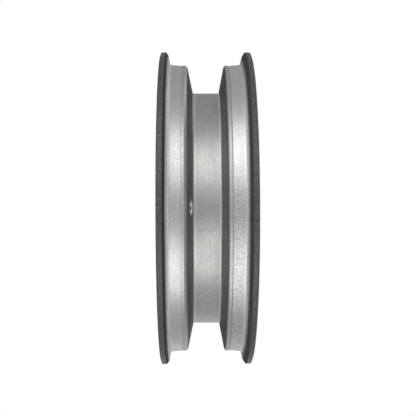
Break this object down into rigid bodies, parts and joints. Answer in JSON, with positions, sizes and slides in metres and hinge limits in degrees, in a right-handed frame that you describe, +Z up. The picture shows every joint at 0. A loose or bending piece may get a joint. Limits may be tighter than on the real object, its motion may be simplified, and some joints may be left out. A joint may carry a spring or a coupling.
{
  "type": "wheel",
  "caption": "Cast aluminium drop-centre wheel for a small tubeless tyre, with machined bead seats, spokes and shielded ball bearings in its hub.",
  "frame": {"origin": "centre of the wheel, on the axle's axis and midway between the two flanges", "axes": "+Y along the axle, from the valve and brake disc side (left) to the right; +Z up; +X from the centre towards the valve hole"},
  "size_m": [0.332, 0.0946, 0.332],
  "materials": {
    "cast_aluminium": "matte",
    "turned_aluminium": "satin",
    "race_steel": "gloss",
    "shield_steel": "satin",
    "ball_steel": "polished",
    "cage_nylon": "satin",
    "seal_rubber": "matte"
  },
  "bodies": {
    "axle_set": {"bearing_spacer": "turned_aluminium", "left_collar": "turned_aluminium", "left_bearing_inner_ring": "race_steel", "right_collar": "turned_aluminium", "right_bearing_inner_ring": "race_steel"},
    "wheel": {"wheel_casting": "cast_aluminium", "left_bearing_outer_ring": "race_steel", "left_bearing_inboard_shield": "shield_steel", "left_bearing_outboard_shield": "shield_steel", "left_dust_seal": "seal_rubber", "right_bearing_outer_ring": "race_steel", "right_bearing_inboard_shield": "shield_steel", "right_bearing_outboard_shield": "shield_steel", "right_dust_seal": "seal_rubber"},
    "left_ball_set": {"left_bearing_cage": "cage_nylon", "left_bearing_ball_1": "ball_steel", "left_bearing_ball_2": "ball_steel", "left_bearing_ball_3": "ball_steel", "left_bearing_ball_4": "ball_steel", "left_bearing_ball_5": "ball_steel", "left_bearing_ball_6": "ball_steel", "left_bearing_ball_7": "ball_steel", "left_bearing_ball_8": "ball_steel"},
    "right_ball_set": {"right_bearing_cage": "cage_nylon", "right_bearing_ball_1": "ball_steel", "right_bearing_ball_2": "ball_steel", "right_bearing_ball_3": "ball_steel", "right_bearing_ball_4": "ball_steel", "right_bearing_ball_5": "ball_steel", "right_bearing_ball_6": "ball_steel", "right_bearing_ball_7": "ball_steel", "right_bearing_ball_8": "ball_steel"}
  },
  "joints": [
    {"name": "wheel_spin", "type": "hinge", "parent": "axle_set", "child": "wheel", "pos_m": [0, 0, 0], "axis": [0, 1, 0], "continuous": true},
    {"name": "left_balls_orbit", "type": "hinge", "parent": "axle_set", "child": "left_ball_set", "pos_m": [0, -0.0305, 0], "axis": [0, 1, 0], "continuous": true},
    {"name": "right_balls_orbit", "type": "hinge", "parent": "axle_set", "child": "right_ball_set", "pos_m": [0, 0.0305, 0], "axis": [0, 1, 0], "continuous": true}
  ],
  "couplings": [
    {"joint": "left_balls_orbit", "follows": "wheel_spin", "ratio": 0.619},
    {"joint": "right_balls_orbit", "follows": "wheel_spin", "ratio": 0.619}
  ]
}
